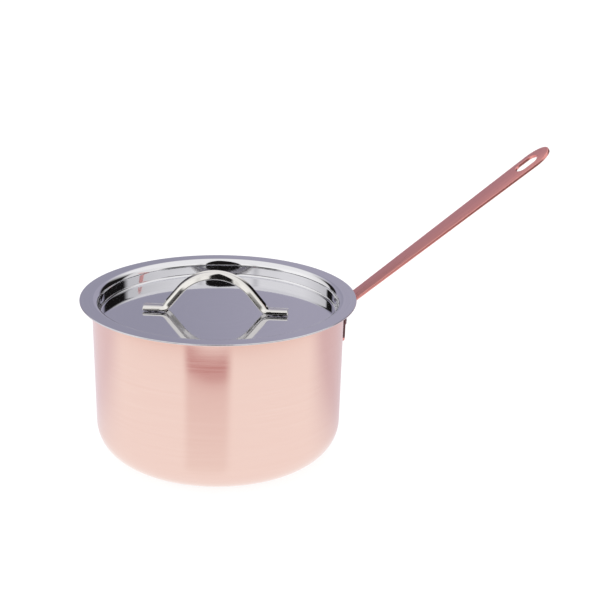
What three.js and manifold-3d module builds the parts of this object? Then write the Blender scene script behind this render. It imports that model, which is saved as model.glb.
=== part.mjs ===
// A lidded copper saucepan of 16 cm, built as the real one comes apart: a clad pan body of three nested
// cups, a flat bar handle on three rivets, and a pressed steel lid with a welded strap handle.
// Millimetres, +Z up. The origin is the centre of the base, and the pan handle runs out along +X.
import * as THREE from "three";
import { mergeVertices } from "three/addons/utils/BufferGeometryUtils.js";
import Module from "manifold-3d";

const wasm = await Module();
wasm.setup();

// Driving dimensions: millimetres, and degrees where the name says so.
const ROUND_STEPS = 64; // sides of every large turned piece

const PAN = {
  rimRadius: 82.5,
  height: 105,
  draftDeg: 1,
  cornerRadius: 22.5,
  copper: 1.1,
  aluminium: 0.9,
  steel: 0.4,
  layerGap: 0.05,
  cornerSteps: 6,
};

const HANDLE = {
  riseDeg: 36.45,
  rootHeight: 95.3, // where the bar's middle line meets the wall
  length: 174, // from the wall to the tip, along the bar
  thickness: 2.2,
  rootWidth: 13.2,
  eyeWidth: 20.5,
  tipLength: 14.5, // the rounded end, a half ellipse
  slotWidth: 10.5,
  slotLength: 16.8,
  slotToTip: 9.3,
  rootDrop: 8, // how far down the plate the web under the bar reaches
  rootReach: 12, // and how far out along the bar
};

const PLATE = {
  width: 30,
  low: 74.3,
  high: 103.4,
  thickness: 1.6,
  cornerRadius: 6,
  wallGap: 0.3,
};

const RIVET = {
  shankRadius: 2.1,
  holeGap: 0.3,
  headRadius: 3.6,
  headHeight: 1.1,
  headGap: 0.3, // between the outer head and the plate
  liningGap: 0.5, // between the inner head and the lining, whose flats cut across its curve
  domeDegs: [35, 65, 90],
  sides: 16,
  seats: [
    { name: "rivet_near", across: -10.8, height: 89.8 },
    { name: "rivet_far", across: 10.8, height: 89.8 },
    { name: "rivet_low", across: 0, height: 82 },
  ],
};

const LID = {
  flangeRadius: 90.4,
  seatGap: 1, // the lid sits on its brim fillet, so the brim itself stays just clear of the rim
  sheet: 1,
  dishDepth: 11,
  dishRadius: 77.8,
  floorFillet: 3,
  brimFillet: 4.4,
  filletSteps: 4,
};

const STRAP = {
  turnDeg: -16, // from the pan handle's direction
  offCentre: 2, // welded this far from the lid's middle, along its own length
  length: 95.4,
  width: 11,
  sheet: 1.8,
  footCrown: 1, // rise of the arched section at a foot
  archCrown: 3.1, // and along the arch
  clearHeight: 23.5, // from the dish floor up to the arch's lower edge
  archRadius: 27,
  slopeDeg: 51,
  bendRadius: 7,
  seatGap: 0.3,
  stepsAlong: 44,
  stepsAcross: 4,
};

const NUGGET = {
  radius: 2,
  inset: 4.2, // one nugget stands this far in from a foot's end, and the other twice as far
  sides: 12,
  gapBelow: 0.15,
  gapAbove: 0.3, // kept from the arched hollow of the foot
};

const STAMP_DEPTH = 60; // the press tools run well past the walls that they cut
const DRILL_REACH = 20;

// Finishes.
function finish(color, roughness) {
  return new THREE.MeshStandardMaterial({ color, roughness, metalness: 1 });
}
const BRUSHED_COPPER = finish(0xd9a592, 0.35);
const COPPER_HANDLE = finish(0xb97f7c, 0.45);
const ALUMINIUM = finish(0xb8babc, 0.5);
const STEEL = finish(0xbcbcc2, 0.25);
const POLISHED_STEEL = finish(0xc9c9cf, 0.1);

const radians = THREE.MathUtils.degToRad;

// Points along an arc, both ends included. Angles in degrees, 0 along +r and 90 along +z.
function arc(r, z, radius, fromDeg, toDeg, steps) {
  const points = [];
  for (let i = 0; i <= steps; i++) {
    const a = radians(fromDeg + ((toDeg - fromDeg) * i) / steps);
    points.push(new THREE.Vector2(r + radius * Math.cos(a), z + radius * Math.sin(a)));
  }
  return points;
}

// A profile of (radius, height) points turned about Z.
function turned(profile, sides) {
  return new THREE.LatheGeometry(profile, sides).rotateX(Math.PI / 2);
}

function solid(geometry) {
  const bare = geometry.index ? geometry.clone() : mergeVertices(geometry);
  bare.deleteAttribute("normal");
  bare.deleteAttribute("uv");
  const merged = mergeVertices(bare, 1e-4);
  return new wasm.Manifold(
    new wasm.Mesh({
      numProp: 3,
      vertProperties: merged.attributes.position.array,
      triVerts: new Uint32Array(merged.index.array),
    }),
  );
}

function geometryOf(body) {
  const mesh = body.getMesh();
  const geometry = new THREE.BufferGeometry();
  geometry.setAttribute("position", new THREE.BufferAttribute(mesh.vertProperties, 3));
  geometry.setIndex(new THREE.BufferAttribute(mesh.triVerts, 1));
  geometry.computeVertexNormals();
  return geometry;
}

function part(name, geometry, material) {
  const mesh = new THREE.Mesh(geometry, material);
  mesh.name = name;
  return mesh;
}

// The pan wall leans out by the draft. A surface lies a depth in from the outside of the pan, and its
// outline runs from the rim down the wall and round the corner to the middle of the base.
const draft = radians(PAN.draftDeg);
const cornerTop = PAN.cornerRadius * (1 - Math.sin(draft));
const cornerCentre =
  PAN.rimRadius - (PAN.height - cornerTop) * Math.tan(draft) - PAN.cornerRadius * Math.cos(draft);

function wallRadius(height) {
  return PAN.rimRadius - (PAN.height - height) * Math.tan(draft);
}

function cupOutline(depth) {
  const rim = new THREE.Vector2(PAN.rimRadius - depth / Math.cos(draft), PAN.height);
  const corner = arc(
    cornerCentre,
    PAN.cornerRadius,
    PAN.cornerRadius - depth,
    -PAN.draftDeg,
    -90,
    PAN.cornerSteps,
  );
  return [rim, ...corner, new THREE.Vector2(0, depth)];
}

function cup(outerDepth, innerDepth) {
  const outside = cupOutline(outerDepth).reverse();
  const inside = cupOutline(innerDepth);
  return turned([...outside, ...inside], ROUND_STEPS);
}

const coreDepth = PAN.copper + PAN.layerGap;
const liningDepth = coreDepth + PAN.aluminium + PAN.layerGap;
const wallDepth = liningDepth + PAN.steel;

// Rivets run square to the wall, so each has its own turn about Z.
function turnToSeat(geometry, seat) {
  const angle = Math.asin(seat.across / wallRadius(seat.height));
  return geometry
    .rotateY(Math.PI / 2)
    .rotateZ(angle)
    .translate(0, 0, seat.height);
}

function rivetHole(seat) {
  const radius = RIVET.shankRadius + RIVET.holeGap;
  const drill = new THREE.CylinderGeometry(radius, radius, DRILL_REACH, RIVET.sides)
    .rotateX(Math.PI / 2)
    .translate(0, 0, wallRadius(seat.height));
  return solid(turnToSeat(drill, seat));
}

function drilled(body) {
  return RIVET.seats.reduce((rest, seat) => rest.subtract(rivetHole(seat)), body);
}

function rivet(seat) {
  const outerSeat = wallRadius(seat.height) + PLATE.wallGap + PLATE.thickness + RIVET.headGap;
  const innerSeat = wallRadius(seat.height) - wallDepth - RIVET.liningGap;
  const dome = (base, way) =>
    RIVET.domeDegs.map((deg) => {
      const a = radians(deg);
      const r = RIVET.headRadius * Math.cos(a);
      return new THREE.Vector2(r, base + way * RIVET.headHeight * Math.sin(a));
    });
  const profile = [
    ...dome(innerSeat, -1).reverse(),
    new THREE.Vector2(RIVET.headRadius, innerSeat),
    new THREE.Vector2(RIVET.shankRadius, innerSeat),
    new THREE.Vector2(RIVET.shankRadius, outerSeat),
    new THREE.Vector2(RIVET.headRadius, outerSeat),
    ...dome(outerSeat, 1),
  ];
  profile[0].x = 0;
  profile[profile.length - 1].x = 0;
  return turnToSeat(turned(profile, RIVET.sides), seat);
}

// The fixing plate hugs the wall: a ring sector cut to a rounded rectangle seen along X.
function fixingPlate() {
  const inside = (z) => wallRadius(z) + PLATE.wallGap;
  const ring = turned(
    [
      new THREE.Vector2(inside(PLATE.low), PLATE.low),
      new THREE.Vector2(inside(PLATE.low) + PLATE.thickness, PLATE.low),
      new THREE.Vector2(inside(PLATE.high) + PLATE.thickness, PLATE.high),
      new THREE.Vector2(inside(PLATE.high), PLATE.high),
      new THREE.Vector2(inside(PLATE.low), PLATE.low),
    ],
    ROUND_STEPS,
  );
  const half = PLATE.width / 2;
  const r = PLATE.cornerRadius;
  const outline = new THREE.Shape();
  outline.absarc(half - r, PLATE.low + r, r, -Math.PI / 2, 0, false);
  outline.absarc(half - r, PLATE.high - r, r, 0, Math.PI / 2, false);
  outline.absarc(r - half, PLATE.high - r, r, Math.PI / 2, Math.PI, false);
  outline.absarc(r - half, PLATE.low + r, r, Math.PI, Math.PI * 1.5, false);
  const stamp = new THREE.ExtrudeGeometry(outline, {
    depth: STAMP_DEPTH,
    bevelEnabled: false,
    curveSegments: 4,
  })
    .rotateX(Math.PI / 2)
    .rotateZ(Math.PI / 2)
    .translate(PAN.rimRadius - STAMP_DEPTH / 2, 0, 0);
  return solid(ring).intersect(solid(stamp));
}

// The bar is cut from sheet in its own plane: x along the bar from the wall, y across.
function barOutline() {
  const root = HANDLE.rootWidth / 2;
  const eye = HANDLE.eyeWidth / 2;
  const tipStart = HANDLE.length - HANDLE.tipLength;
  const outline = new THREE.Shape();
  outline.moveTo(-HANDLE.rootDrop, -root);
  outline.lineTo(tipStart, -eye);
  outline.absellipse(tipStart, 0, HANDLE.tipLength, eye, -Math.PI / 2, Math.PI / 2, false, 0);
  outline.lineTo(-HANDLE.rootDrop, root);
  const r = HANDLE.slotWidth / 2;
  const slotEnd = HANDLE.length - HANDLE.slotToTip - r;
  const slotStart = slotEnd - HANDLE.slotLength + HANDLE.slotWidth;
  const slot = new THREE.Path();
  slot.absarc(slotEnd, 0, r, Math.PI / 2, -Math.PI / 2, true);
  slot.absarc(slotStart, 0, r, -Math.PI / 2, -Math.PI * 1.5, true);
  outline.holes.push(slot);
  return outline;
}

function handle() {
  const bar = new THREE.ExtrudeGeometry(barOutline(), {
    depth: HANDLE.thickness,
    bevelEnabled: false,
    curveSegments: 10,
  })
    .translate(0, 0, -HANDLE.thickness / 2)
    .rotateY(-radians(HANDLE.riseDeg))
    .translate(wallRadius(HANDLE.rootHeight), 0, HANDLE.rootHeight);
  // A curved web under the bar carries it into the plate.
  const rise = radians(HANDLE.riseDeg);
  const root = wallRadius(HANDLE.rootHeight) + PLATE.wallGap + PLATE.thickness / 2;
  const along = (u) => [root + u * Math.cos(rise), HANDLE.rootHeight + u * Math.sin(rise)];
  const webOutline = new THREE.Shape();
  webOutline.moveTo(root, HANDLE.rootHeight - HANDLE.rootDrop);
  webOutline.quadraticCurveTo(...along(HANDLE.rootReach / 3), ...along(HANDLE.rootReach));
  webOutline.lineTo(root, HANDLE.rootHeight);
  const web = new THREE.ExtrudeGeometry(webOutline, {
    depth: HANDLE.rootWidth,
    bevelEnabled: false,
    curveSegments: 6,
  })
    .rotateX(Math.PI / 2)
    .translate(0, HANDLE.rootWidth / 2, 0);
  const clearance = [...cupOutline(-PLATE.wallGap).reverse(), new THREE.Vector2(0, PAN.height)];
  const clear = solid(turned(clearance, ROUND_STEPS));
  const whole = solid(bar).add(solid(web)).subtract(clear).add(fixingPlate());
  return geometryOf(drilled(whole));
}

// The lid is one pressed sheet: a flat dish floor, an upright wall and a flat brim.
const brimTop = PAN.height + LID.seatGap + LID.sheet;
const dishTop = brimTop - LID.dishDepth;

function lidPressing() {
  const brimInner = LID.dishRadius + LID.brimFillet;
  const floorCentre = LID.dishRadius - LID.floorFillet;
  const edge = LID.sheet / 2;
  const upper = [
    new THREE.Vector2(0, dishTop),
    ...arc(floorCentre, dishTop + LID.floorFillet, LID.floorFillet, -90, 0, LID.filletSteps),
    ...arc(brimInner, brimTop - LID.brimFillet, LID.brimFillet, 180, 90, LID.filletSteps),
  ];
  const rim = arc(LID.flangeRadius - edge, brimTop - edge, edge, 90, -90, 4);
  const lower = [
    ...arc(brimInner, brimTop - LID.brimFillet, LID.brimFillet - LID.sheet, 90, 180, LID.filletSteps),
    ...arc(
      floorCentre,
      dishTop + LID.floorFillet,
      LID.floorFillet + LID.sheet,
      0,
      -90,
      LID.filletSteps,
    ),
    new THREE.Vector2(0, dishTop - LID.sheet),
  ];
  return turned([...upper, ...rim, ...lower].reverse(), ROUND_STEPS);
}

// The strap's lower edge, seen from the side: an arch, a straight slope, a bend and a flat foot.
// Returns the place and the slope, in radians, at a distance from the middle of the strap.
function strapLine(distance) {
  const slope = radians(STRAP.slopeDeg);
  const archLength = STRAP.archRadius * slope;
  const archDrop = STRAP.archRadius * (1 - Math.cos(slope));
  const bendDrop = STRAP.bendRadius * (1 - Math.cos(slope));
  const slopeLength = (STRAP.clearHeight - archDrop - bendDrop) / Math.sin(slope);
  const bendLength = STRAP.bendRadius * slope;
  const s = Math.abs(distance);
  const archEnd = STRAP.archRadius * Math.sin(slope);
  const slopeEnd = archEnd + slopeLength * Math.cos(slope);
  const footStart = slopeEnd + STRAP.bendRadius * Math.sin(slope);
  let x, z, angle;
  if (s < archLength) {
    angle = s / STRAP.archRadius;
    x = STRAP.archRadius * Math.sin(angle);
    z = STRAP.clearHeight - STRAP.archRadius * (1 - Math.cos(angle));
  } else if (s < archLength + slopeLength) {
    angle = slope;
    x = archEnd + (s - archLength) * Math.cos(slope);
    z = STRAP.clearHeight - archDrop - (s - archLength) * Math.sin(slope);
  } else if (s < archLength + slopeLength + bendLength) {
    angle = slope - (s - archLength - slopeLength) / STRAP.bendRadius;
    x = footStart - STRAP.bendRadius * Math.sin(angle);
    z = STRAP.bendRadius * (1 - Math.cos(angle));
  } else {
    angle = 0;
    x = footStart + s - archLength - slopeLength - bendLength;
    z = 0;
  }
  const bendStart = archLength + slopeLength;
  const flattened = THREE.MathUtils.smoothstep(s, bendStart, bendStart + bendLength);
  const crown = THREE.MathUtils.lerp(STRAP.archCrown, STRAP.footCrown, flattened);
  return { x: Math.sign(distance) * x, z, angle: Math.sign(distance) * angle, crown };
}

// Half of the strap's own length along its lower edge, so that the feet end at the stated length.
function halfStrapLength() {
  const far = STRAP.length;
  return far - (strapLine(far).x - STRAP.length / 2);
}

// A flat strip with a grid of points, bent along the strap line with its section arched.
function lidHandle() {
  const half = halfStrapLength();
  const strip = new THREE.BoxGeometry(
    2 * half,
    STRAP.width,
    STRAP.sheet,
    STRAP.stepsAlong,
    STRAP.stepsAcross,
    1,
  );
  const place = strip.attributes.position;
  for (let i = 0; i < place.count; i++) {
    const line = strapLine(place.getX(i));
    const across = place.getY(i);
    const arch = line.crown * (1 - (2 * across / STRAP.width) ** 2);
    const up = place.getZ(i) + STRAP.sheet / 2 + arch;
    place.setXYZ(i, line.x + up * Math.sin(line.angle), across, line.z + up * Math.cos(line.angle));
  }
  return strip.translate(-STRAP.offCentre, 0, dishTop + STRAP.seatGap).rotateZ(radians(STRAP.turnDeg));
}

// Weld nuggets stand between the dish floor and the hollow of each foot.
function nugget(alongStrap) {
  const height = STRAP.seatGap + STRAP.footCrown - NUGGET.gapBelow - NUGGET.gapAbove;
  return new THREE.CylinderGeometry(NUGGET.radius, NUGGET.radius, height, NUGGET.sides)
    .rotateX(Math.PI / 2)
    .translate(alongStrap - STRAP.offCentre, 0, dishTop + NUGGET.gapBelow + height / 2)
    .rotateZ(radians(STRAP.turnDeg));
}

const saucepan = new THREE.Group();
saucepan.name = "saucepan";

const pan = new THREE.Group();
pan.name = "pan";
pan.add(
  part("copper_shell", geometryOf(drilled(solid(cup(0, PAN.copper)))), BRUSHED_COPPER),
  part(
    "aluminium_core",
    geometryOf(drilled(solid(cup(coreDepth, coreDepth + PAN.aluminium)))),
    ALUMINIUM,
  ),
  part("steel_lining", geometryOf(drilled(solid(cup(liningDepth, wallDepth)))), STEEL),
  part("pan_handle", handle(), COPPER_HANDLE),
);
for (const seat of RIVET.seats) pan.add(part(seat.name, rivet(seat), STEEL));

const lid = new THREE.Group();
lid.name = "lid";
lid.add(
  part("lid_pressing", lidPressing(), POLISHED_STEEL),
  part("lid_handle", lidHandle(), POLISHED_STEEL),
);
const footEnd = STRAP.length / 2;
const weldPlaces = { left_outer: -1, left_inner: -2, right_inner: 2, right_outer: 1 };
for (const [place, step] of Object.entries(weldPlaces)) {
  const x = Math.sign(step) * (footEnd - Math.abs(step) * NUGGET.inset);
  lid.add(part(`weld_${place}`, nugget(x), STEEL));
}

saucepan.add(pan, lid);

export default saucepan;
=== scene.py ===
# %% [markdown]
# # A lidded copper saucepan
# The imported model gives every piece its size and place. Here each piece that shows is modelled again
# with a fine surface, gets the finish of the real metal, and rides on the body it belongs to.

# %% Loading the frame
import math

import bpy
from mathutils import Matrix, Vector


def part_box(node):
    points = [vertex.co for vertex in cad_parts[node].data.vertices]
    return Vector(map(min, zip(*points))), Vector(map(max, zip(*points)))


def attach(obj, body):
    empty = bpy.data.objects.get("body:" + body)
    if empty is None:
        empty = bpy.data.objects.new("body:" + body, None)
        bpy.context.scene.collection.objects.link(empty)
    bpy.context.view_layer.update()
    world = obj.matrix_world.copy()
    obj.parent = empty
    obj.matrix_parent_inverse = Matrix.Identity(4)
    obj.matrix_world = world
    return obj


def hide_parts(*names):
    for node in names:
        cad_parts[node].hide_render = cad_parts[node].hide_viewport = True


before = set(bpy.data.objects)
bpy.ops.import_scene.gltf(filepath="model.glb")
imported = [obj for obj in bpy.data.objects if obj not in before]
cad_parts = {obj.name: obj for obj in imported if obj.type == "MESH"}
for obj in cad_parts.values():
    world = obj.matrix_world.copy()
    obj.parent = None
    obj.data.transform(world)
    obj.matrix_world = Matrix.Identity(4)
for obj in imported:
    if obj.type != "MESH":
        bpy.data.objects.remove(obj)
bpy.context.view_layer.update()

MM = 0.001
SIDES = 256
NEAR = 0.01 * MM  # places closer than this count as the same

# %% [markdown]
# ## Reading sizes from the frame
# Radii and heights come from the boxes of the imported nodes. What a box can't tell, such as a corner
# radius or the thickness of a sheet, is a named value of the same design.

# %% Sizes of the pan, the lid and the handle
shell_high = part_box("copper_shell")[1]
core_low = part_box("aluminium_core")[0]
lining_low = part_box("steel_lining")[0]
lid_low, lid_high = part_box("lid_pressing")
strap_low, strap_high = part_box("lid_handle")
bar_low, bar_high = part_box("pan_handle")

RIM_RADIUS = shell_high[0]
RIM_HEIGHT = shell_high[2]
DRAFT = math.radians(1)
CORNER_RADIUS = 22.5 * MM
COPPER_THICKNESS = 1.1 * MM
ALUMINIUM_THICKNESS = 0.9 * MM
STEEL_THICKNESS = 0.4 * MM
RIM_ROUNDING = 0.2  # as a share of a layer's thickness
CORNER_STEPS = 14
CORE_DEPTH = core_low[2]
LINING_DEPTH = lining_low[2]

BRIM_RADIUS = lid_high[0]
BRIM_TOP = lid_high[2]
SHEET = 1.0 * MM
DISH_TOP = lid_low[2] + SHEET
DISH_RADIUS = 77.8 * MM
BRIM_FILLET = 4.4 * MM
FLOOR_FILLET = 1.6 * MM
BRIM_EDGE = 0.42 * MM
print("pan radius %.1f mm, lid radius %.1f mm" % (RIM_RADIUS / MM, BRIM_RADIUS / MM))

# %% [markdown]
# ## Small helpers
# An operator works on everything that is selected, so each step first clears the selection and then
# picks one object. Faces, edges and points are picked in code by their place.

# %% Selecting and finishing
def deselect_all():
    if bpy.context.mode != "OBJECT":
        bpy.ops.object.mode_set(mode="OBJECT")
    bpy.ops.object.select_all(action="DESELECT")


def pick(piece):
    deselect_all()
    piece.select_set(True)
    bpy.context.view_layer.objects.active = piece


def name_new(name):
    piece = bpy.context.object
    piece.name = name
    piece.data.name = name
    return piece


def edit(piece, kind="VERT"):
    pick(piece)
    bpy.ops.object.mode_set(mode="EDIT")
    bpy.ops.mesh.select_mode(type=kind)
    bpy.ops.mesh.select_all(action="DESELECT")


def select_where(piece, kind, test):
    """Selects the vertices, edges or faces whose middle passes a test, and leaves edit mode on."""
    edit(piece, kind)
    bpy.ops.object.mode_set(mode="OBJECT")
    mesh = piece.data
    parts = {"VERT": mesh.vertices, "EDGE": mesh.edges, "FACE": mesh.polygons}[kind]
    for part in parts:
        if kind == "VERT":
            places = [part.co]
        else:
            places = [mesh.vertices[i].co for i in part.vertices]
        part.select = all(test(place) for place in places)
    bpy.ops.object.mode_set(mode="EDIT")


def apply_modifier(piece, kind, **settings):
    pick(piece)
    modifier = piece.modifiers.new(kind.title(), kind)
    for key, value in settings.items():
        setattr(modifier, key, value)
    bpy.ops.object.modifier_apply(modifier=modifier.name)


def apply_place(piece):
    pick(piece)
    bpy.ops.object.transform_apply(location=True, rotation=True, scale=True)


def face_outwards(piece):
    edit(piece)
    bpy.ops.mesh.select_all(action="SELECT")
    bpy.ops.mesh.remove_doubles(threshold=NEAR / 10)
    bpy.ops.mesh.normals_make_consistent(inside=False)
    deselect_all()


def smooth(piece, angle=35):
    pick(piece)
    bpy.ops.object.shade_smooth_by_angle(angle=math.radians(angle))
    apply_modifier(piece, "WEIGHTED_NORMAL", keep_sharp=True, weight=80)


# %% [markdown]
# ## Nodes and colours
# A colour is written as people write it for a screen and turned to the linear numbers that the
# shader needs. One small function adds a node, sets its values and joins its inputs.

# %% Adding nodes
def linear(hex_colour):
    channels = [int(hex_colour[i : i + 2], 16) / 255 for i in (1, 3, 5)]
    lit = [c / 12.92 if c <= 0.04045 else ((c + 0.055) / 1.055) ** 2.4 for c in channels]
    return (*lit, 1.0)


def add(tree, kind, values=None, links=None, stops=None, **settings):
    """Adds a node, sets its values and joins its inputs.

    A colour ramp's stops are (place, grey or colour). A new ramp has two stops already, at its ends:
    the first two of the list move those, and the others are added between them.
    """
    node = tree.nodes.new(kind)
    for key, value in settings.items():
        setattr(node, key, value)
    for socket, value in (values or {}).items():
        node.inputs[socket].default_value = value
    for socket, source in (links or {}).items():
        tree.links.new(source, node.inputs[socket])
    for index, (place, tone) in enumerate(stops or ()):
        elements = node.color_ramp.elements
        element = elements[index] if index < 2 else elements.new(place)
        element.position = place
        element.color = (*tone, 1.0) if isinstance(tone, tuple) else (tone, tone, tone, 1.0)
    return node


def metal(name, colour, roughness):
    """A plain metal to build on: returns the material, its tree and its shader."""
    material = bpy.data.materials.new(name)
    material.use_nodes = True
    tree = material.node_tree
    shader = tree.nodes["Principled BSDF"]
    shader.inputs["Base Color"].default_value = linear(colour)
    shader.inputs["Metallic"].default_value = 1.0
    shader.inputs["Roughness"].default_value = roughness
    return material, tree, shader


# %% [markdown]
# ## The studio
# The pan stands on white paper in a white light tent, and a long lens looks down on it from the front.
# The view transform is Standard, so that white paper comes out white.

# %% Camera
VIEW_TURN = math.radians(-13)
VIEW_PITCH = math.radians(19.04)
VIEW_ROLL = math.radians(1.15)
VIEW_PLACE = Matrix.Rotation(VIEW_TURN, 3, "Z") @ Vector((53.3, -930.1, 426.4)) * MM
VIEW_LENS = 90.1

to_view = Matrix.Rotation(VIEW_TURN, 3, "Z")
forward = to_view @ Vector((0, math.cos(VIEW_PITCH), -math.sin(VIEW_PITCH)))
level = to_view @ Vector((1, 0, 0))
upward = level.cross(forward)
right = level * math.cos(VIEW_ROLL) + upward * math.sin(VIEW_ROLL)
top = upward * math.cos(VIEW_ROLL) - level * math.sin(VIEW_ROLL)
lens = bpy.data.cameras.new("camera")
lens.lens = VIEW_LENS
lens.clip_end = 50
camera = bpy.data.objects.new("camera", lens)
view_axes = Matrix((right, top, -forward)).transposed().to_4x4()
camera.matrix_world = Matrix.Translation(VIEW_PLACE) @ view_axes
bpy.context.scene.collection.objects.link(camera)
bpy.context.scene.camera = camera
bpy.context.scene.view_settings.view_transform = "Standard"
print("camera at", [round(v, 2) for v in camera.matrix_world.translation])

# %% [markdown]
# The floor is white paper on a light table, lit a little from below as well as from above, so that no
# hard shadow lies under the pan. The lamp above is one that the metal doesn't mirror.

# %% Floor and overhead lamp
FLOOR_SIZE = 16
PAPER_GLOW = 0.8
LAMP_HEIGHT = 2.2
LAMP_WIDTH = 3.5
LAMP_POWER = 14
deselect_all()
bpy.ops.mesh.primitive_plane_add(size=FLOOR_SIZE, location=(0, 0, 0))
floor = name_new("floor")
paper = bpy.data.materials.new("lit_paper")
paper.use_nodes = True
paper_grain = add(paper.node_tree, "ShaderNodeTexNoise", {"Scale": 400.0, "Detail": 2.0})
paper_tone = add(
    paper.node_tree,
    "ShaderNodeMix",
    {6: linear("#8A8A8A"), 7: linear("#8E8E8E")},
    {0: paper_grain.outputs["Fac"]},
    data_type="RGBA",
)
paper_shader = paper.node_tree.nodes["Principled BSDF"]
paper_shader.inputs["Roughness"].default_value = 0.8
paper_shader.inputs["Emission Color"].default_value = linear("#FFFFFF")
paper_shader.inputs["Emission Strength"].default_value = PAPER_GLOW
paper.node_tree.links.new(paper_tone.outputs[2], paper_shader.inputs["Base Color"])
floor.data.materials.append(paper)

bpy.ops.object.light_add(type="AREA", location=(0, 0, LAMP_HEIGHT))
lamp = bpy.context.object
lamp.name = "overhead_lamp"
lamp.data.shape = "DISK"
lamp.data.size = LAMP_WIDTH
lamp.data.energy = LAMP_POWER
lamp.visible_glossy = False
print("lamp of", LAMP_POWER, "W,", LAMP_HEIGHT, "m over the floor")

# %% [markdown]
# The wall of the pan mirrors the table round it. A glowing sheet just above the paper stands for that:
# only reflections see it, so the paper stays white to the camera. It is white near the pan and more
# lavender behind it. In front lies a soft band with one dark patch, as from somebody at the table, and
# further out the white turns to salmon and then to a dark surround.

# %% What the wall mirrors
TABLE_SIZE = 8
TABLE_LIFT = 1 * MM
WALL_FRONT = 82 * MM
BAND_HALF_WIDTH = 14 * MM
BAND_FAN = 0.356
BAND_LEAN = 0.12
BAND_OFFSET = 5 * MM
BAND_LENGTH = 400 * MM
BEHIND_START = -60 * MM
BEHIND_FULL = 70 * MM
RIGHT_AT = 100 * MM
RING_REACH = 800 * MM
SHEET_WHITE = (1.06, 1.06, 1.05)
BAND_NEAR = (1.01, 0.98, 0.96)
BAND_FAR = (0.93, 0.84, 0.83)
PATCH = (0.58, 0.30, 0.31)
RIM_GLOW = (0.86, 0.66, 0.60)
BEHIND_LEFT = (0.87, 0.80, 0.86)
BEHIND_RIGHT = (0.79, 0.69, 0.74)
SURROUND = (0.16, 0.13, 0.13)
deselect_all()
bpy.ops.mesh.primitive_plane_add(size=TABLE_SIZE, location=(0, 0, TABLE_LIFT))
mirrored = name_new("mirrored_table")
apply_place(mirrored)
table = bpy.data.materials.new("mirrored_table_tones")
table.use_nodes = True
tree = table.node_tree
tree.nodes.clear()
place = add(tree, "ShaderNodeTexCoord")
seen = add(
    tree, "ShaderNodeMapping", {"Rotation": (0, 0, -VIEW_TURN)}, {"Vector": place.outputs["Object"]}
)
across_and_back = add(tree, "ShaderNodeSeparateXYZ", links={0: seen.outputs[0]})
forward_of_wall = add(
    tree,
    "ShaderNodeMath",
    {1: -1.0, 2: -WALL_FRONT},
    {0: across_and_back.outputs["Y"]},
    operation="MULTIPLY_ADD",
)
# The curved wall fans its view out, so a band that looks upright widens with the distance from it.
half_width = add(
    tree,
    "ShaderNodeMath",
    {1: BAND_FAN, 2: BAND_HALF_WIDTH},
    {0: forward_of_wall.outputs[0]},
    operation="MULTIPLY_ADD",
)
off_middle = add(
    tree,
    "ShaderNodeMath",
    {1: BAND_LEAN},
    {0: forward_of_wall.outputs[0], 2: across_and_back.outputs["X"]},
    operation="MULTIPLY_ADD",
)
from_middle = add(
    tree, "ShaderNodeMath", {1: BAND_OFFSET}, {0: off_middle.outputs[0]}, operation="ADD"
)
band_share = add(
    tree,
    "ShaderNodeMath",
    links={0: from_middle.outputs[0], 1: half_width.outputs[0]},
    operation="DIVIDE",
)
band_side = add(tree, "ShaderNodeMath", links={0: band_share.outputs[0]}, operation="ABSOLUTE")
in_band = add(
    tree,
    "ShaderNodeMapRange",
    {"From Min": 1.28, "From Max": 0.74},
    {"Value": band_side.outputs[0]},
    interpolation_type="SMOOTHSTEP",
)
along_band = add(
    tree,
    "ShaderNodeMapRange",
    {"From Min": 0.0, "From Max": BAND_LENGTH},
    {"Value": forward_of_wall.outputs[0]},
)
band_tones = add(
    tree,
    "ShaderNodeValToRGB",
    links={"Fac": along_band.outputs[0]},
    stops=[
        (0.0, SHEET_WHITE),
        (1.0, SHEET_WHITE),
        (0.05, BAND_NEAR),
        (0.35, BAND_FAR),
        (0.42, BAND_FAR),
        (0.46, PATCH),
        (0.55, PATCH),
        (0.59, SHEET_WHITE),
    ],
)
behind = add(
    tree,
    "ShaderNodeMapRange",
    {"From Min": BEHIND_START, "From Max": BEHIND_FULL},
    {"Value": across_and_back.outputs["Y"]},
    interpolation_type="SMOOTHSTEP",
)
left_or_right = add(
    tree,
    "ShaderNodeMapRange",
    {"From Min": -RIGHT_AT, "From Max": RIGHT_AT},
    {"Value": across_and_back.outputs["X"]},
)
behind_tone = add(
    tree,
    "ShaderNodeMix",
    {6: (*BEHIND_LEFT, 1), 7: (*BEHIND_RIGHT, 1)},
    {0: left_or_right.outputs[0]},
    data_type="RGBA",
)
reach = add(tree, "ShaderNodeVectorMath", links={0: seen.outputs[0]}, operation="LENGTH")
far_out = add(
    tree,
    "ShaderNodeMapRange",
    {"From Min": 0.0, "From Max": RING_REACH},
    {"Value": reach.outputs["Value"]},
)
rim_tones = add(
    tree,
    "ShaderNodeValToRGB",
    links={"Fac": far_out.outputs[0]},
    stops=[
        (0.0, SHEET_WHITE),
        (1.0, SURROUND),
        (0.39, SHEET_WHITE),
        (0.43, RIM_GLOW),
        (0.50, RIM_GLOW),
        (0.60, SURROUND),
    ],
)
table_tone = add(
    tree,
    "ShaderNodeMix",
    links={0: in_band.outputs[0], 6: rim_tones.outputs["Color"], 7: band_tones.outputs["Color"]},
    data_type="RGBA",
)
all_tones = add(
    tree,
    "ShaderNodeMix",
    links={0: behind.outputs[0], 6: table_tone.outputs[2], 7: behind_tone.outputs[2]},
    data_type="RGBA",
)
shine = add(tree, "ShaderNodeEmission", links={"Color": all_tones.outputs[2]})
add(tree, "ShaderNodeOutputMaterial", links={"Surface": shine.outputs[0]})
mirrored.data.materials.append(table)
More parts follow.
